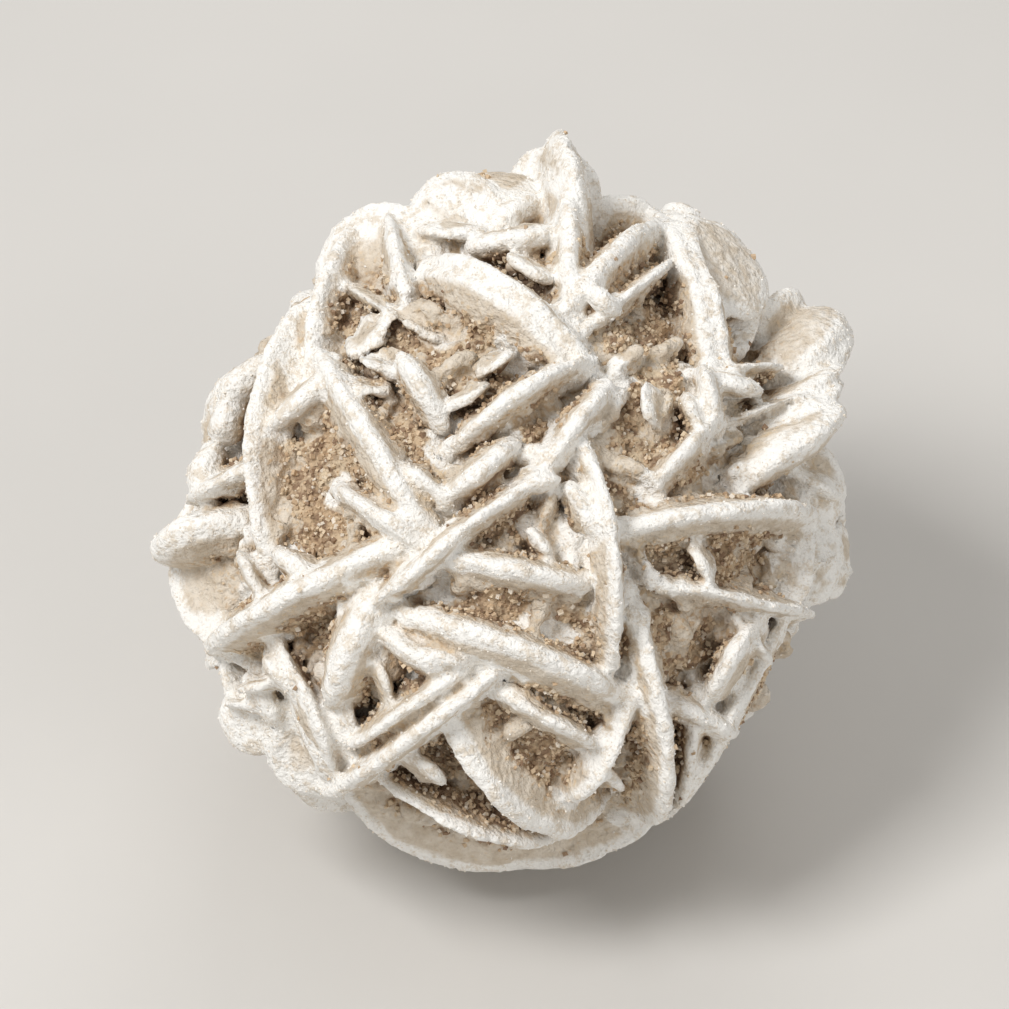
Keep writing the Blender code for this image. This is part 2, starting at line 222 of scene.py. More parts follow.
# The side turned away has edges of the same habit: their number, length, bow, rise and thickness. Those
# close behind the outline are short and low.
BACK_SEED = 37
BACK_EDGES = 112
BACK_LIMIT = 0.06
OUTLINE_LIMIT = 0.32
OUTLINE_SHARE = 0.6
OUTLINE_RISE = -0.9
BACK_LENGTH = (6.5, 14.5)
BACK_SCATTER = 0.25
BACK_BOW = 1.6
BACK_RISE = (0.0, 0.9)
BACK_THICKNESS = (1.4, 2.7)

# Small blades all over, low between the large ones.
SMALL_SEED = 4
SMALL_BLADES = 260
SMALL_LENGTH = (2.2, 5.2)
SMALL_RISE = (-2.4, -1.1)
SMALL_THICKNESS = (0.5, 0.9)

# A crystal's shape: how much thicker in the middle it is than the tables say, which give the width seen,
# the share of its thickness at the edge, the rings where its flanks bend, and the sides of its outline.
FULLNESS = 1.15
LENS_EDGE = 0.2
LENS_RINGS = (0.95, 0.87, 0.76, 0.6, 0.35)
LENS_BULGE = 0.6
LENS_SIDES = 44

# Thick crystals are two layers: the thickness from which they are, how far each layer lies to its side and
# how much thinner it is, as shares of the thickness, and how much smaller its radius is.
TWO_LAYERS_FROM = 3.15
LAYER_OFFSET = 0.14
LAYER_THINNING = 0.196
LAYER_STEP = (0.25, 0.55)

# White powder: its share on the edges of large, thin and small crystals and on the faces seen, and the
# distances in from the rim between which it fades and sand begins to lie.
LARGE_POWDER = 1.0
THIN_POWDER = 0.8
SMALL_POWDER = 0.35
FACE_POWDER = 0.4
POWDER_FADE = (0.2, 1.2)
SAND_START = (1.5, 2.8)

# How far past a crystal's faces and rim a point still counts as its own.
FACE_MARGIN = 0.3
RIM_MARGIN = 0.4

# The depths under the envelope between which the sandy relief comes in.
RELIEF_DEPTH = (0.7, 2.0)
RELIEF_LEVELS = 20

# Sizes of the lumps in the stone's shape, then in its colours.
SAND_LUMP_SIZE = 3.4 * MM
WAVE_SIZE = 5.5 * MM
SWELL_SIZE = 1.5 * MM
ROUGH_SIZE = 0.7 * MM
CELL_SIZE = 1.1 * MM
GRIT_SIZE = 0.35 * MM
PATCH_SIZE = 2.6 * MM
MOTTLE_SIZE = 0.8 * MM
SPECKLE_SIZE = 0.32 * MM
DUST_SIZE = 0.14 * MM

# Fine relief in the finishes: the size of its pits and how deep it is.
PIT_SIZE = 0.42 * MM
STONE_BUMP = 0.3 * MM
GRAIN_PIT_SIZE = 0.18 * MM
GRAIN_BUMP = 0.05 * MM
CRUMB_PIT_SIZE = 0.15 * MM
CRUMB_BUMP = 0.04 * MM

# Rays that find how much of the sky the stone hides from each of its points: their number and length,
# how far off the surface they start, how much they favour the point's own normal, and how much less the
# farthest hit counts. The result is evened out over neighbours a few times.
SKY_RAYS = 14
SKY_REACH = 7.0 * MM
SKY_START = 0.12 * MM
SKY_LEAN = 1.05
SKY_FADE = 0.6
SKY_ROUNDS = 2

# Grains and crumbs: least and largest radius. Each is a cube of this side for a radius of one, stretched
# along its axes, with its corners pushed in or out, and stands this share of its radius off the surface.
GRAIN_RADIUS = (0.07 * MM, 0.19 * MM)
CRUMB_RADIUS = (0.035 * MM, 0.085 * MM)
GRAIN_CUBE = 1.3
GRAIN_STRETCH = (0.65, 1.2)
GRAIN_DENTS = (0.7, 1.2)
GRAIN_LIFT = 0.25

# How densely stray grains lie on the crystals and stray crumbs in the sand, next to one where they belong.
STRAY_GRAINS = 0.002
STRAY_CRUMBS = 0.03

# Seeds of the random draws.
LAYER_SEED = 1
SKY_SEED = 3
GRAIN_SEED = 21
CRUMB_SEED = 22

# The worn crystal that lies flat under the stone: its radius and thickness.
FOOT_SIZE = (7.2, 3.0)

# The floor's faint patches: their size and their share of its brightness.
FLOOR_PATCH_SIZE = 30.0 * MM
FLOOR_PATCH = 0.97

# Area lights: name, place, width and power.
LAMPS = [
    ("key", (-0.22, -0.16, 0.42), 0.16, 1.8),
    ("fill", (0.30, -0.30, 0.22), 0.30, 0.35),
    ("back", (0.06, 0.34, 0.30), 0.22, 0.35),
]


def shrunk(point):
    """The point in the space where the envelope is a ball of radius one."""
    return Vector([p / half for p, half in zip(point, HALVES)])


def on_sight_line(across, up, rise=0.0):
    """The envelope's near side behind a place on the sight plane, moved out by rise. Past the outline it
    is the nearest point of that sight line."""
    foot = SIGHT_ACROSS * across + SIGHT_UP * (up + SIGHT_DROP)
    start, step = shrunk(foot), shrunk(AWAY)
    a, b, c = step.dot(step), start.dot(step), start.dot(start) - 1.0
    reach = max(b * b - a * c, 0.0)
    point = foot + AWAY * ((-b - math.sqrt(reach)) / a)
    return point + point.normalized() * rise


def settle(point, rise):
    """The point brought to the envelope along the line to its middle, then moved out by rise."""
    return point / shrunk(point).length + point.normalized() * rise


def rim_through(first, crest, last):
    """The centre, radius, face normal and crest direction of the round rim through three points."""
    p, q = first - crest, last - crest
    normal = p.cross(q)
    offset = (q * p.length_squared - p * q.length_squared).cross(normal) / (2.0 * normal.length_squared)
    radius = min(offset.length, LARGEST_RADIUS)
    outward = -offset.normalized()
    return crest - outward * radius, radius, normal.normalized(), outward


def front_rim(across1, up1, across2, up2, bow, rise):
    """The rim of a crystal whose edge is seen from the front."""
    run = Vector((across2 - across1, up2 - up1)).normalized()
    middle = Vector((across1 + across2, up1 + up2)) / 2.0 + Vector((-run.y, run.x)) * bow
    sink = AWAY * (END_SINK - min(rise, 0.0))
    first = on_sight_line(across1, up1) + sink
    last = on_sight_line(across2, up2) + sink
    return rim_through(first, on_sight_line(middle.x, middle.y, rise), last)


def face_rim(across, up, near, lean_across, lean_up, radius):
    """The rim of a crystal seen on its face, or standing past the outline."""
    centre = SIGHT_ACROSS * across + SIGHT_UP * (up + SIGHT_DROP) - AWAY * near
    normal = (SIGHT_ACROSS * lean_across + SIGHT_UP * lean_up - AWAY).normalized()
    return centre, radius, normal, normal.orthogonal().normalized()


def spread_out(count, chance, scatter):
    """Directions spread evenly over a ball, on a golden spiral."""
    golden_turn = math.pi * (3.0 - math.sqrt(5.0))
    for index in range(count):
        height = 1.0 - 2.0 * (index + 0.5) / count
        around = golden_turn * index + chance.uniform(-scatter, scatter)
        ring = math.sqrt(1.0 - height * height)
        yield Vector((ring * math.cos(around), ring * math.sin(around), height))


def rim_at(out, heading, length, bow, rise):
    """A rim whose crest lies in the direction out from the envelope's middle."""
    side = out.orthogonal().normalized()
    along = Matrix.Rotation(heading, 3, out) @ side
    crest = out * HALVES.z + out.cross(along) * bow
    ends = [out * HALVES.z + along * (sign * length / 2.0) for sign in (-1.0, 1.0)]
    first, last = [settle(end, min(rise, 0.0) - END_SINK) for end in ends]
    return rim_through(first, settle(crest, rise), last)


def back_crystals():
    """Rims and thicknesses of the large crystals on the side turned away."""
    chance = random.Random(BACK_SEED)
    for out in spread_out(BACK_EDGES, chance, BACK_SCATTER):
        heading, length = chance.uniform(0.0, math.pi), chance.uniform(*BACK_LENGTH)
        bow, rise = chance.uniform(-BACK_BOW, BACK_BOW), chance.uniform(*BACK_RISE)
        thickness = chance.uniform(*BACK_THICKNESS)
        if out.dot(AWAY) < BACK_LIMIT:
            continue
        if out.dot(AWAY) < OUTLINE_LIMIT:
            length, bow, rise = length * OUTLINE_SHARE, bow * OUTLINE_SHARE, OUTLINE_RISE
        yield rim_at(out, heading, length, bow, rise), thickness


def small_crystals():
    """Rims and thicknesses of the small blades."""
    chance = random.Random(SMALL_SEED)
    for out in spread_out(SMALL_BLADES, chance, BACK_SCATTER):
        heading, length = chance.uniform(0.0, math.pi), chance.uniform(*SMALL_LENGTH)
        rise = chance.uniform(*SMALL_RISE)
        yield rim_at(out, heading, length, 0.0, rise), chance.uniform(*SMALL_THICKNESS)


def foot_rim():
    centre = Vector((0.0, 0.0, FOOT_SIZE[1] / 2.0 - MIDDLE.z))
    return centre, FOOT_SIZE[0], Vector((0.0, 0.0, 1.0)), Vector((1.0, 0.0, 0.0))


def all_crystals():
    """Every crystal's rim and thickness, with the white powder on its edge and on its face."""
    crystals = [(foot_rim(), FOOT_SIZE[1], LARGE_POWDER, 0.0)]
    for *run, thickness in FRONT_EDGES:
        crystals.append((front_rim(*run), thickness * FULLNESS, LARGE_POWDER, 0.0))
    for rim, thickness in back_crystals():
        crystals.append((rim, thickness * FULLNESS, LARGE_POWDER, 0.0))
    for *place, thickness in FACES:
        crystals.append((face_rim(*place), thickness, LARGE_POWDER, FACE_POWDER))
    for *run, thickness in THIN_BLADES:
        crystals.append((front_rim(*run), thickness, THIN_POWDER, 0.0))
    for rim, thickness in small_crystals():
        crystals.append((rim, thickness, SMALL_POWDER, 0.0))
    return crystals


def deselect_all():
    if bpy.context.object and bpy.context.object.mode != "OBJECT":
        bpy.ops.object.mode_set(mode="OBJECT")
    bpy.ops.object.select_all(action="DESELECT")


def make_active(obj):
    deselect_all()
    obj.select_set(True)
    bpy.context.view_layer.objects.active = obj


def add_primitive(name, operator, **settings):
    """A new primitive, alone in the selection."""
    deselect_all()
    operator(**settings)
    obj = bpy.context.object
    obj.name = obj.data.name = name
    return obj


def select_level_faces(obj):
    """Opens edit mode with only the faces that look straight up or down selected."""
    make_active(obj)
    bpy.ops.object.mode_set(mode="EDIT")
    bpy.ops.mesh.select_mode(type="FACE")
    bpy.ops.mesh.select_all(action="DESELECT")
    mesh = bmesh.from_edit_mesh(obj.data)
    for face in mesh.faces:
        face.select_set(abs(face.normal.z) > 0.5)
    mesh.select_flush_mode()
    bmesh.update_edit_mesh(obj.data)


def apply_modifier(obj, kind, **settings):
    """Adds a modifier with these settings and applies it."""
    make_active(obj)
    modifier = obj.modifiers.new(kind.lower(), kind)
    for key, value in settings.items():
        setattr(modifier, key, value)
    bpy.ops.object.modifier_apply(modifier=modifier.name)


def noise_texture(name, kind, size, **settings):
    """A solid noise whose lumps are about that many metres wide."""
    texture = bpy.data.textures.new(name, kind)
    texture.noise_scale = size
    for key, value in settings.items():
        setattr(texture, key, value)
    return texture


def lens_pattern():
    """One crystal of radius one and thickness one, its axis along Z: a lens with a thin blunt edge."""
    radius, level = 1.0, LENS_EDGE / 2.0
    lens = add_primitive(
        "lens",
        bpy.ops.mesh.primitive_cylinder_add,
        vertices=LENS_SIDES,
        radius=radius,
        depth=LENS_EDGE,
        end_fill_type="NGON",
    )
    select_level_faces(lens)
    for ring in LENS_RINGS:
        rise = 0.5 * (1.0 - ring**3) ** LENS_BULGE
        bpy.ops.mesh.inset(thickness=radius - ring, depth=rise - level)
        radius, level = ring, rise
    bpy.ops.object.mode_set(mode="OBJECT")
    return lens


def layers_of(rim, thickness, chance):
    """A thick crystal is made of two thinner ones side by side, each a little smaller."""
    if thickness <= TWO_LAYERS_FROM:
        return [(rim, thickness)]
    centre, radius, normal, outward = rim
    layers = []
    for side in (-1.0, 1.0):
        offset = normal * (side * LAYER_OFFSET * thickness)
        layer = (centre + offset, radius - chance.uniform(*LAYER_STEP), normal, outward)
        layers.append((layer, thickness * (1.0 - LAYER_THINNING)))
    return layers


def place_copy(pattern, rim, thickness):
    """The pattern crystal stretched and turned to a rim, in metres."""
    centre, radius, normal, outward = rim
    copy = pattern.copy()
    copy.data = pattern.data.copy()
    bpy.context.collection.objects.link(copy)
    turn = Matrix((outward, normal.cross(outward), normal)).transposed().to_4x4()
    stretch = Matrix.Diagonal((radius, radius, thickness, 1.0))
    copy.data.transform(Matrix.Scale(MM, 4) @ Matrix.Translation(centre + MIDDLE) @ turn @ stretch)
    return copy


def sandy_mass(settings):
    """The lumpy mass that the crystals grew in."""
    mass = add_primitive(
        "sand_rose_stone",
        bpy.ops.mesh.primitive_ico_sphere_add,
        subdivisions=6,
        radius=1.0,
        location=MIDDLE * MM,
    )
    mass.scale = [(half - SAND_DEPTH) * MM for half in HALVES]
    bpy.ops.object.transform_apply(location=True, rotation=True, scale=True)
    lumps = noise_texture("sand_lumps", "CLOUDS", SAND_LUMP_SIZE, noise_depth=1)
    apply_modifier(mass, "DISPLACE", texture=lumps, strength=settings.sand_lump, mid_level=0.5)
    return mass


def join_all(target, others):
    make_active(target)
    for obj in others:
        obj.select_set(True)
    bpy.ops.object.join()
    return target


def keep_largest(stone):
    """Drops what the remesh leaves loose or sealed inside."""
    make_active(stone)
    bpy.ops.mesh.separate(type="LOOSE")
    shells = list(bpy.context.selected_objects)
    shells.sort(key=lambda shell: len(shell.data.polygons))
    for shell in shells[:-1]:
        bpy.data.objects.remove(shell)
    return shells[-1]


def weigh_hollows(stone):
    """A vertex group that is full down in the hollows and empty on the crests."""
    co = positions(stone.data)
    place = (co / MM - np.array(MIDDLE)) / np.array(HALVES)
    depth = (1.0 - np.linalg.norm(place, axis=1)) * HALVES.z
    weights = smooth_step(depth, *RELIEF_DEPTH)
    group = stone.vertex_groups.new(name="hollows")
    steps = np.round(weights * RELIEF_LEVELS).astype(int)
    for level in range(1, RELIEF_LEVELS + 1):
        group.add(np.flatnonzero(steps == level).tolist(), level / RELIEF_LEVELS, "REPLACE")


def cut_to_ground(stone):
    """Wears the stone flat where it rests."""
    size = MM * 4.0 * HALVES.z
    place = (0.0, 0.0, -size / 2.0)
    ground = add_primitive("ground_cut", bpy.ops.mesh.primitive_cube_add, size=size, location=place)
    apply_modifier(stone, "BOOLEAN", operation="DIFFERENCE", solver="MANIFOLD", object=ground)
    bpy.data.objects.remove(ground)


def flatten_foot(stone):
    """Puts every vertex that relief pushed below the ground back on it."""
    co = positions(stone.data)
    co[:, 2] = np.maximum(co[:, 2], 0.0)
    stone.data.vertices.foreach_set("co", co.ravel())
    stone.data.update()


def positions(mesh):
    """The places of a mesh's vertices, one in each row."""
    co = np.empty(len(mesh.vertices) * 3)
    mesh.vertices.foreach_get("co", co)
    return co.reshape(-1, 3)


def normals(mesh):
    """The normals of a mesh's vertices, one in each row."""
    vectors = np.empty(len(mesh.vertices) * 3)
    mesh.vertex_normals.foreach_get("vector", vectors)
    return vectors.reshape(-1, 3)


def triangle_corners(mesh):
    """The vertices of a mesh's triangles, one triangle in each row."""
    mesh.calc_loop_triangles()
    corners = np.empty(len(mesh.loop_triangles) * 3, dtype=np.int32)
    mesh.loop_triangles.foreach_get("vertices", corners)
    return corners.reshape(-1, 3)


def smooth_step(values, low, high):
    """A smooth rise from nought at low to one at high."""
    t = np.clip((values - low) / (high - low), 0.0, 1.0)
    return t * t * (3.0 - 2.0 * t)


def add_relief(stone, settings):
    """Wavy blades, uneven edges and a coarse sandy surface in the hollows."""
    waves = noise_texture("blade_waves", "CLOUDS", WAVE_SIZE, noise_depth=1, cloud_type="COLOR")
    swells = noise_texture("edge_swells", "CLOUDS", SWELL_SIZE, noise_depth=1)
    rough = noise_texture("sandy_rough", "CLOUDS", ROUGH_SIZE, noise_depth=2)
    cells = noise_texture("sandy_cells", "VORONOI", CELL_SIZE)
    grit = noise_texture("fine_grit", "CLOUDS", GRIT_SIZE, noise_depth=1)
    apply_modifier(stone, "DISPLACE", texture=waves, direction="RGB_TO_XYZ", strength=settings.blade_wave)
    apply_modifier(stone, "DISPLACE", texture=swells, strength=settings.edge_swell, mid_level=0.5)
    weigh_hollows(stone)
    sandy = {"mid_level": 0.5, "vertex_group": "hollows"}
    apply_modifier(stone, "DISPLACE", texture=rough, strength=settings.sand_relief, **sandy)
    pitted = {"mid_level": 0.3, "vertex_group": "hollows"}
    apply_modifier(stone, "DISPLACE", texture=cells, strength=settings.sand_cells, **pitted)
    apply_modifier(stone, "DISPLACE", texture=grit, strength=settings.grit, mid_level=0.5)
    stone.vertex_groups.clear()


def mark_crystals(stone, crystals):
    """Vertex attributes: edge is one on the crests, sand is one away from every crystal."""
    co = positions(stone.data) / MM - np.array(MIDDLE)
    edge, sand = np.zeros(len(co)), np.ones(len(co))
    for (centre, radius, normal, _), thickness, powder, face_powder in crystals:
        reach = co - np.array(centre)
        level = reach @ np.array(normal)
        near = np.flatnonzero(np.abs(level) < thickness / 2.0 + FACE_MARGIN)
        across = np.sqrt(np.maximum((reach[near] ** 2).sum(1) - level[near] ** 2, 0.0))
        inside = across < radius + RIM_MARGIN
        near, inward = near[inside], radius - across[inside]
        white = np.maximum(powder * (1.0 - smooth_step(inward, *POWDER_FADE)), face_powder)
        edge[near] = np.maximum(edge[near], white)
        sand[near] = np.minimum(sand[near], smooth_step(inward, *SAND_START) * (1.0 - face_powder))
    write_attribute(stone.data, "edge", edge)
    write_attribute(stone.data, "sand", sand)


def mark_hollows(stone):
    """Vertex attribute hollow: the share of the sky above a point that nearby stone hides."""
    # The stone's finish paints shade from this share of the sky hidden.
    mesh = stone.data
    co, up = positions(mesh), normals(mesh)
    tree = BVHTree.FromPolygons(co.tolist(), triangle_corners(mesh).tolist())
    chance = np.random.default_rng(SKY_SEED)
    hidden = np.zeros(len(co))
    start = co + up * SKY_START
    for _ in range(SKY_RAYS):
        spray = chance.normal(size=co.shape)
        spray /= np.linalg.norm(spray, axis=1, keepdims=True)
        way = up * SKY_LEAN + spray
        way /= np.linalg.norm(way, axis=1, keepdims=True)
        for index, (origin, direction) in enumerate(zip(start.tolist(), way.tolist())):
            distance = tree.ray_cast(origin, direction, SKY_REACH)[3]
            if distance is not None:
                hidden[index] += 1.0 - SKY_FADE * distance / SKY_REACH
    hidden /= SKY_RAYS
    write_attribute(mesh, "hollow", spread_over_edges(mesh, hidden, SKY_ROUNDS))


def spread_over_edges(mesh, values, rounds):
    """Each value averaged with its neighbours' a few times."""
    ends = np.empty(len(mesh.edges) * 2, dtype=np.int32)
    mesh.edges.foreach_get("vertices", ends)
    first, second = ends.reshape(-1, 2).T
    for _ in range(rounds):
        total, count = values.copy(), np.ones(len(values))
        np.add.at(total, first, values[second])
        np.add.at(total, second, values[first])
        np.add.at(count, first, 1.0)
        np.add.at(count, second, 1.0)
        values = total / count
    return values


def write_attribute(mesh, name, values):
    attribute = mesh.attributes.new(name, "FLOAT", "POINT")
    attribute.data.foreach_set("value", np.asarray(values, dtype=np.float32))


def read_attribute(mesh, name):
    values = np.empty(len(mesh.vertices), dtype=np.float32)
    mesh.attributes[name].data.foreach_get("value", values)
    return values


class Wire:
    """A socket in a material: arithmetic on it adds the Math nodes that do it."""

    def __init__(self, tree, socket):
        self.tree = tree
        self.socket = socket

    def math(self, operation, *others):
        """Adds the Math node of that operation, with these values or wires."""
        node = self.tree.nodes.new("ShaderNodeMath")
        node.operation = operation
        for slot, value in zip(node.inputs, others):
            if isinstance(value, Wire):
                self.tree.links.new(value.socket, slot)
            else:
                slot.default_value = value
        return Wire(self.tree, node.outputs[0])

    def __add__(self, other):
        return self.math("ADD", self, other)

    def __radd__(self, other):
        return self.math("ADD", other, self)

    def __sub__(self, other):
        return self.math("SUBTRACT", self, other)

    def __rsub__(self, other):
        return self.math("SUBTRACT", other, self)

    def __mul__(self, other):
        return self.math("MULTIPLY", self, other)

    def __rmul__(self, other):
        return self.math("MULTIPLY", other, self)


class Finish:
    """A material with one Principled shader, built node by node."""

    def __init__(self, name, roughness):
        self.material = bpy.data.materials.new(name)
        self.material.use_nodes = True
        self.tree = self.material.node_tree
        self.shader = self.tree.nodes["Principled BSDF"]
        self.shader.inputs["Roughness"].default_value = roughness

    def node(self, kind, settings, inputs, output=0):
        """Adds a node: its settings first, then the values or links of its sockets."""
        node = self.tree.nodes.new(kind)
        for key, value in settings.items():
            setattr(node, key, value)
        for key, value in inputs.items():
            if isinstance(value, Wire):
                self.tree.links.new(value.socket, node.inputs[key])
            else:
                node.inputs[key].default_value = value
        return Wire(self.tree, node.outputs[output])

    def attribute(self, name):
        return self.node("ShaderNodeAttribute", {"attribute_name": name}, {}, "Fac")

    def place(self):
        return self.node("ShaderNodeTexCoord", {}, {}, "Object")

    def noise(self, size, detail=2.0, roughness=0.5):
        """Noise whose lumps are about that many metres wide."""
        inputs = {"Vector": self.place(), "Scale": 1.0 / size, "Detail": detail, "Roughness": roughness}
        return self.node("ShaderNodeTexNoise", {}, inputs)

    def cells(self, size):
        """Distance from the nearest of many scattered points."""
        return self.node("ShaderNodeTexVoronoi", {}, {"Vector": self.place(), "Scale": 1.0 / size})

    def step(self, value, low, high):
        """A smooth rise from nought at low to one at high."""
        inputs = {"Value": value, "From Min": low, "From Max": high}
        return self.node("ShaderNodeMapRange", {"interpolation_type": "SMOOTHSTEP"}, inputs)

    def mix(self, share, first, second):
        """One colour turning into another."""
        inputs = {0: share, 6: first, 7: second}
        return self.node("ShaderNodeMix", {"data_type": "RGBA"}, inputs, 2)

    def connect(self, socket, wire):
        self.tree.links.new(wire.socket, self.shader.inputs[socket])

    def bump(self, height, distance, strength):
        inputs = {"Height": height, "Distance": distance, "Strength": strength}
        self.connect("Normal", self.node("ShaderNodeBump", {}, inputs))


def opaque(colour):
    return (*colour, 1.0)


def stone_finish(settings):
    """White powder on the edges, pale faces, tan to brown sand in the hollows, and painted shade where
    nearby stone hides the sky.
    """
    finish = Finish("sand_rose_stone", 0.92)
    finish.shader.inputs["Specular IOR Level"].default_value = 0.3
    patches = finish.noise(PATCH_SIZE, 3.0)
    mottle = finish.noise(MOTTLE_SIZE, 3.0, 0.6)
    speckle = finish.noise(SPECKLE_SIZE, 1.0)
    dust = finish.noise(DUST_SIZE, 2.0, 0.6)
    edge = finish.attribute("edge")
    sand = finish.attribute("sand")
    hollow = finish.attribute("hollow")
    warmth = finish.step(patches, 0.38, 0.62)
    pale_sand = finish.mix(warmth, opaque(settings.sand), opaque(settings.warm_sand))
    brown_share = finish.step(mottle + speckle * 0.4, 0.62, 0.86)
    dark_sand = finish.mix(brown_share, pale_sand, opaque(settings.brown_sand))
    dullness = finish.step(mottle, 0.3, 0.7)
    bare = finish.mix(dullness, opaque(settings.face), opaque(settings.dull_face))
    # Where nearby stone hides the sky, sand colour comes onto the faces and into the hollows, and the
    # edges lose powder: sand that settles in the hollows, and in part painted shade.
    dusted = finish.mix(finish.step(speckle + hollow * 0.35, 0.62, 0.86), bare, pale_sand)
    sandy_share = finish.step(sand * 0.55 + hollow * 0.9 + mottle * 0.5 - edge * 0.75, 0.55, 0.95)
    ground = finish.mix(sandy_share, dusted, dark_sand)
    unevenness = (patches - 0.5) * 0.5 + (speckle - 0.5) * 0.5
    powder_share = finish.step(edge + unevenness - hollow * 0.5, 0.25, 0.75)
    worn_share = finish.step(mottle + dust * 0.5, 0.72, 0.95)
    white = finish.mix(worn_share, opaque(settings.powder), opaque(settings.face))
    powdered = finish.mix(powder_share, ground, white)
    # Painted shade: a dark brown laid over the colour where nearby stone hides much of the sky.
    painted_shade_share = finish.step(hollow - edge * 0.3, settings.painted_shade_start, settings.painted_shade_end)
    finish.connect("Base Color", finish.mix(painted_shade_share, powdered, opaque(settings.painted_shade)))
    grain = finish.cells(PIT_SIZE)
    height = speckle * 0.4 + dust * 0.35 + grain * 0.5 * (1.0 - edge * 0.5) + mottle * 0.6
    finish.bump(height, STONE_BUMP, 1.0)
    return finish.material


def grain_finish(settings):
    """Grains of quartz and gypsum sand: each has a colour of its own."""
    finish = Finish("sand_grains", 0.75)
    tone = finish.attribute("tone")
    warm = finish.mix(finish.step(tone, 0.0, 0.3), opaque(settings.brown_sand), opaque(settings.warm_sand))
    pale = finish.mix(finish.step(tone, 0.3, 0.7), warm, opaque(settings.sand))
    finish.connect("Base Color", finish.mix(finish.step(tone, 0.78, 0.95), pale, opaque(settings.face)))
    finish.bump(finish.noise(GRAIN_PIT_SIZE, 2.0), GRAIN_BUMP, 0.6)
    return finish.material


def crumb_finish(settings):
    """White gypsum crumbs along the edges."""
    finish = Finish("gypsum_crumbs", 0.9)
    tone = finish.attribute("tone")
    finish.connect("Base Color", finish.mix(tone, opaque(settings.face), opaque(settings.powder)))
    finish.bump(finish.noise(CRUMB_PIT_SIZE, 2.0), CRUMB_BUMP, 0.6)
    return finish.material


def floor_finish(settings):
    """A plain pale floor with faint patches."""
    finish = Finish("pale_floor", 0.7)
    shade = finish.step(finish.noise(FLOOR_PATCH_SIZE, 3.0), 0.3, 0.7)
    patch = tuple(channel * FLOOR_PATCH for channel in settings.floor)
    finish.connect("Base Color", finish.mix(shade, opaque(settings.floor), opaque(patch)))
    return finish.material


def scatter(name, stone, share, count, radius, seed):
    """Small rough grains set into the stone's surface, more where share is high, joined in one mesh."""
    mesh = stone.data
    corners = triangle_corners(mesh)
    co, up = positions(mesh), normals(mesh)
    a, b, c = (co[corners[:, corner]] for corner in range(3))
    area = np.linalg.norm(np.cross(b - a, c - a), axis=1)
    chance = np.random.default_rng(seed)
    weight = area * share[corners].mean(axis=1)
    picks = chance.choice(len(corners), count, p=weight / weight.sum())
    u, v = chance.random((2, count, 1))
    u, v = np.where(u + v > 1.0, 1.0 - u, u), np.where(u + v > 1.0, 1.0 - v, v)
    spots = a[picks] + u * (b[picks] - a[picks]) + v * (c[picks] - a[picks])
    lift = up[corners[picks, 0]]
    grain = add_primitive(name, bpy.ops.mesh.primitive_cube_add, size=GRAIN_CUBE)
    shape = positions(grain.data)
    faces = np.array([polygon.vertices[:] for polygon in grain.data.polygons])
    radii = chance.uniform(*radius, (count, 1))
    stretch = chance.uniform(*GRAIN_STRETCH, (count, 3))
    turns = np.array([Euler(chance.uniform(0.0, 2.0 * math.pi, 3)).to_matrix() for _ in range(count)])
    dents = chance.uniform(*GRAIN_DENTS, (count, len(shape), 1))
    points = np.einsum("nij,nkj->nki", turns, shape[None] * dents * stretch[:, None])
    points = points * radii[:, None] + (spots + lift * radii * GRAIN_LIFT)[:, None]
    points[:, :, 2] = np.maximum(points[:, :, 2], 0.0)
    all_faces = faces[None] + (np.arange(count) * len(shape))[:, None, None]
    all_faces = all_faces.reshape(-1, faces.shape[1])
    grain.data.clear_geometry()
    grain.data.from_pydata(points.reshape(-1, 3).tolist(), [], all_faces.tolist())
    grain.data.update()
    write_attribute(grain.data, "tone", np.repeat(chance.random(count), len(shape)))
    return grain


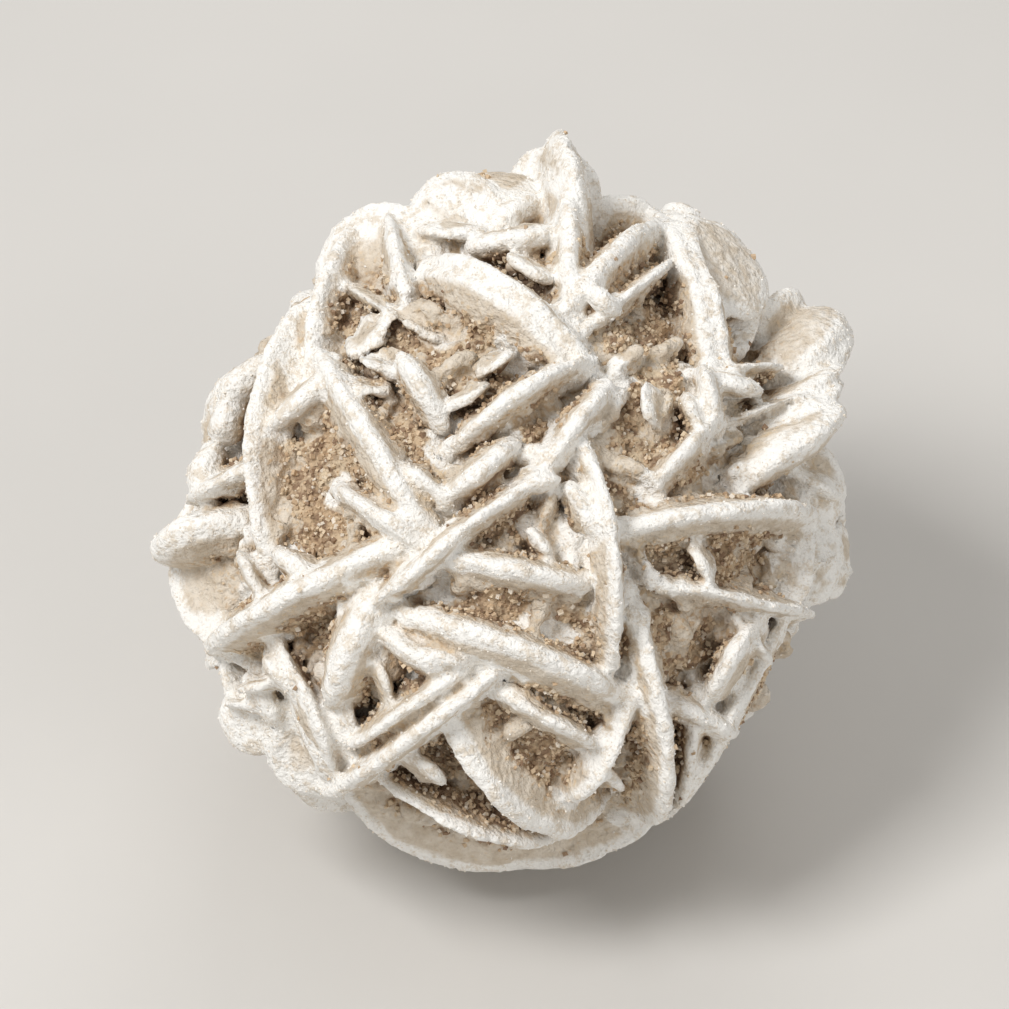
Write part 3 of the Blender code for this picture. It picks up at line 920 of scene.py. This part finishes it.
class StoneSettings(bpy.types.PropertyGroup):
    sand_lump: FloatProperty(
        name="Sand lumps",
        description="Height of the lumps in the hollows",
        default=1.5 * MM,
        unit="LENGTH",
    )
    blade_wave: FloatProperty(
        name="Blade waves",
        description="How far the blades wander",
        default=0.4 * MM,
        unit="LENGTH",
    )
    edge_swell: FloatProperty(
        name="Edge swells",
        description="How much the edges vary in width",
        default=0.3 * MM,
        unit="LENGTH",
    )
    sand_relief: FloatProperty(
        name="Sandy relief",
        description="Height of the coarse relief in the hollows",
        default=0.7 * MM,
        unit="LENGTH",
    )
    sand_cells: FloatProperty(
        name="Sand cells",
        description="Depth of the pits in the sand",
        default=0.6 * MM,
        unit="LENGTH",
    )
    grit: FloatProperty(
        name="Grit",
        description="Height of the fine relief",
        default=0.14 * MM,
        unit="LENGTH",
    )
    remesh_size: FloatProperty(
        name="Remesh size",
        description="Spacing of the surface net",
        default=0.2 * MM,
        unit="LENGTH",
    )
    triangles: IntProperty(
        name="Triangles",
        description="Most triangles in the stone",
        default=196000,
    )
    powder: FloatVectorProperty(
        name="Powder",
        description="Edges",
        subtype="COLOR",
        default=(0.92, 0.90, 0.86),
    )
    face: FloatVectorProperty(
        name="Face",
        description="Clean crystal faces",
        subtype="COLOR",
        default=(0.74, 0.665, 0.565),
    )
    dull_face: FloatVectorProperty(
        name="Dull face",
        description="Greyer parts of the faces",
        subtype="COLOR",
        default=(0.60, 0.51, 0.40),
    )
    sand: FloatVectorProperty(
        name="Sand",
        description="Pale sand",
        subtype="COLOR",
        default=(0.68, 0.55, 0.39),
    )
    warm_sand: FloatVectorProperty(
        name="Warm sand",
        description="Tan sand",
        subtype="COLOR",
        default=(0.55, 0.40, 0.255),
    )
    brown_sand: FloatVectorProperty(
        name="Brown sand",
        description="Dark grains",
        subtype="COLOR",
        default=(0.27, 0.175, 0.11),
    )
    # Painted shade: the colour laid where nearby stone hides the most sky.
    painted_shade: FloatVectorProperty(
        name="Deep",
        description="The deepest hollows",
        subtype="COLOR",
        default=(0.215, 0.14, 0.09),
    )
    # Painted shade: the shares of sky hidden at which it begins and is full.
    painted_shade_start: FloatProperty(
        name="Deep from",
        description="Cover at which hollows begin to darken",
        default=0.5,
        subtype="FACTOR",
    )
    painted_shade_end: FloatProperty(
        name="Deep to",
        description="Cover at which hollows are darkest",
        default=0.8,
        subtype="FACTOR",
    )


class SandSettings(bpy.types.PropertyGroup):
    grains: IntProperty(
        name="Grains",
        description="Sand grains in the hollows",
        default=16000,
    )
    crumbs: IntProperty(
        name="Crumbs",
        description="White crumbs on the edges",
        default=10000,
    )


class StageSettings(bpy.types.PropertyGroup):
    floor: FloatVectorProperty(
        name="Floor",
        description="Floor colour",
        subtype="COLOR",
        default=(0.62, 0.60, 0.57),
    )
    sky: FloatVectorProperty(
        name="Sky",
        description="Colour of the soft light all round",
        subtype="COLOR",
        default=(1.0, 0.985, 0.96),
    )
    sky_strength: FloatProperty(
        name="Sky strength",
        description="Strength of the light all round",
        default=0.44,
    )
    lens: FloatProperty(
        name="Lens",
        description="Focal length in millimetres",
        default=250.0,
        unit="CAMERA",
    )
    view_width: FloatProperty(
        name="View width",
        description="Width seen at the stone",
        default=54.0 * MM,
        unit="LENGTH",
    )


class SANDROSE_OT_stone(bpy.types.Operator):
    """Grow the stone: every crystal and the mass between them, in one surface"""

    bl_idname = "sandrose.stone"
    bl_label = "Stone"

    def execute(self, context):
        settings = context.scene.sand_rose_stone
        crystals = all_crystals()
        chance = random.Random(LAYER_SEED)
        pattern = lens_pattern()
        blades = []
        for rim, thickness, _, _ in crystals:
            blades += [place_copy(pattern, *layer) for layer in layers_of(rim, thickness, chance)]
        bpy.data.objects.remove(pattern)
        stone = join_all(sandy_mass(settings), blades)
        apply_modifier(stone, "REMESH", mode="VOXEL", voxel_size=settings.remesh_size)
        stone = keep_largest(stone)
        cut_to_ground(stone)
        mark_crystals(stone, crystals)
        add_relief(stone, settings)
        stone.data.calc_loop_triangles()
        ratio = settings.triangles / len(stone.data.loop_triangles)
        apply_modifier(stone, "DECIMATE", ratio=min(ratio, 1.0), use_collapse_triangulate=True)
        flatten_foot(stone)
        stone.name = stone.data.name = "sand_rose_stone"
        make_active(stone)
        bpy.ops.object.shade_smooth()
        mark_hollows(stone)
        stone.data.materials.clear()
        stone.data.materials.append(stone_finish(settings))
        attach(stone, "root")
        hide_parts("sand_rose")
        return {"FINISHED"}


class SANDROSE_OT_sand(bpy.types.Operator):
    """Strew sand grains in the hollows and white crumbs along the edges"""

    bl_idname = "sandrose.sand"
    bl_label = "Sand and crumbs"

    def execute(self, context):
        settings, colours = context.scene.sand_rose_sand, context.scene.sand_rose_stone
        stone = bpy.data.objects["sand_rose_stone"]
        edge, sand, hollow = (read_attribute(stone.data, name) for name in ("edge", "sand", "hollow"))
        in_hollows = smooth_step(sand * 0.6 + hollow - edge * 1.2, 0.3, 0.8) + STRAY_GRAINS
        on_edges = smooth_step(edge - hollow * 0.5, 0.35, 0.8) + STRAY_CRUMBS
        grains = scatter("sand_grains", stone, in_hollows, settings.grains, GRAIN_RADIUS, GRAIN_SEED)
        grains.data.materials.append(grain_finish(colours))
        crumbs = scatter("gypsum_crumbs", stone, on_edges, settings.crumbs, CRUMB_RADIUS, CRUMB_SEED)
        crumbs.data.materials.append(crumb_finish(colours))
        for piece in (grains, crumbs):
            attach(piece, "root")
        return {"FINISHED"}


class SANDROSE_OT_stage(bpy.types.Operator):
    """Lay a plain pale floor, with soft light and the camera"""

    bl_idname = "sandrose.stage"
    bl_label = "Stage"

    def execute(self, context):
        settings = context.scene.sand_rose_stage
        floor = add_primitive("floor", bpy.ops.mesh.primitive_plane_add, size=2.0)
        floor.data.materials.append(floor_finish(settings))
        world = bpy.data.worlds.new("soft_sky")
        context.scene.world = world
        world.use_nodes = True
        sky = world.node_tree.nodes["Background"]
        sky.inputs["Color"].default_value = opaque(settings.sky)
        sky.inputs["Strength"].default_value = settings.sky_strength
        middle = MIDDLE * MM
        for name, place, size, power in LAMPS:
            lamp = bpy.data.lights.new(name, "AREA")
            lamp.size = size
            lamp.energy = power
            obj = bpy.data.objects.new(name, lamp)
            obj.location = place
            obj.rotation_mode = "QUATERNION"
            obj.rotation_quaternion = (middle - Vector(place)).to_track_quat("-Z", "Y")
            context.scene.collection.objects.link(obj)
        camera = bpy.data.objects.new("camera", bpy.data.cameras.new("camera"))
        camera.data.lens = settings.lens
        camera.data.clip_start = 0.01
        distance = settings.view_width * settings.lens / camera.data.sensor_width
        camera.location = middle + SIGHT_UP * SIGHT_DROP * MM - AWAY * distance
        camera.rotation_mode = "QUATERNION"
        camera.rotation_quaternion = AWAY.to_track_quat("-Z", "Y")
        context.scene.collection.objects.link(camera)
        context.scene.camera = camera
        context.scene.view_settings.view_transform = "Standard"
        return {"FINISHED"}


class SANDROSE_PT_sidebar(bpy.types.Panel):
    bl_label = "Sand rose"
    bl_idname = "SANDROSE_PT_sidebar"
    bl_space_type = "VIEW_3D"
    bl_region_type = "UI"
    bl_category = "Sand rose"

    def draw(self, context):
        for operator, settings in (
            (SANDROSE_OT_stone, context.scene.sand_rose_stone),
            (SANDROSE_OT_sand, context.scene.sand_rose_sand),
            (SANDROSE_OT_stage, context.scene.sand_rose_stage),
        ):
            box = self.layout.box()
            for name in settings.bl_rna.properties.keys()[2:]:
                box.prop(settings, name)
            box.operator(operator.bl_idname)


CLASSES = (
    StoneSettings,
    SandSettings,
    StageSettings,
    SANDROSE_OT_stone,
    SANDROSE_OT_sand,
    SANDROSE_OT_stage,
    SANDROSE_PT_sidebar,
)


def register():
    for cls in CLASSES:
        bpy.utils.register_class(cls)
    bpy.types.Scene.sand_rose_stone = PointerProperty(type=StoneSettings)
    bpy.types.Scene.sand_rose_sand = PointerProperty(type=SandSettings)
    bpy.types.Scene.sand_rose_stage = PointerProperty(type=StageSettings)


def unregister():
    del bpy.types.Scene.sand_rose_stage
    del bpy.types.Scene.sand_rose_sand
    del bpy.types.Scene.sand_rose_stone
    for cls in reversed(CLASSES):
        bpy.utils.unregister_class(cls)


def main():
    register()
    bpy.ops.sandrose.stone()
    bpy.ops.sandrose.sand()
    bpy.ops.sandrose.stage()


if __name__ == "__main__":
    main()
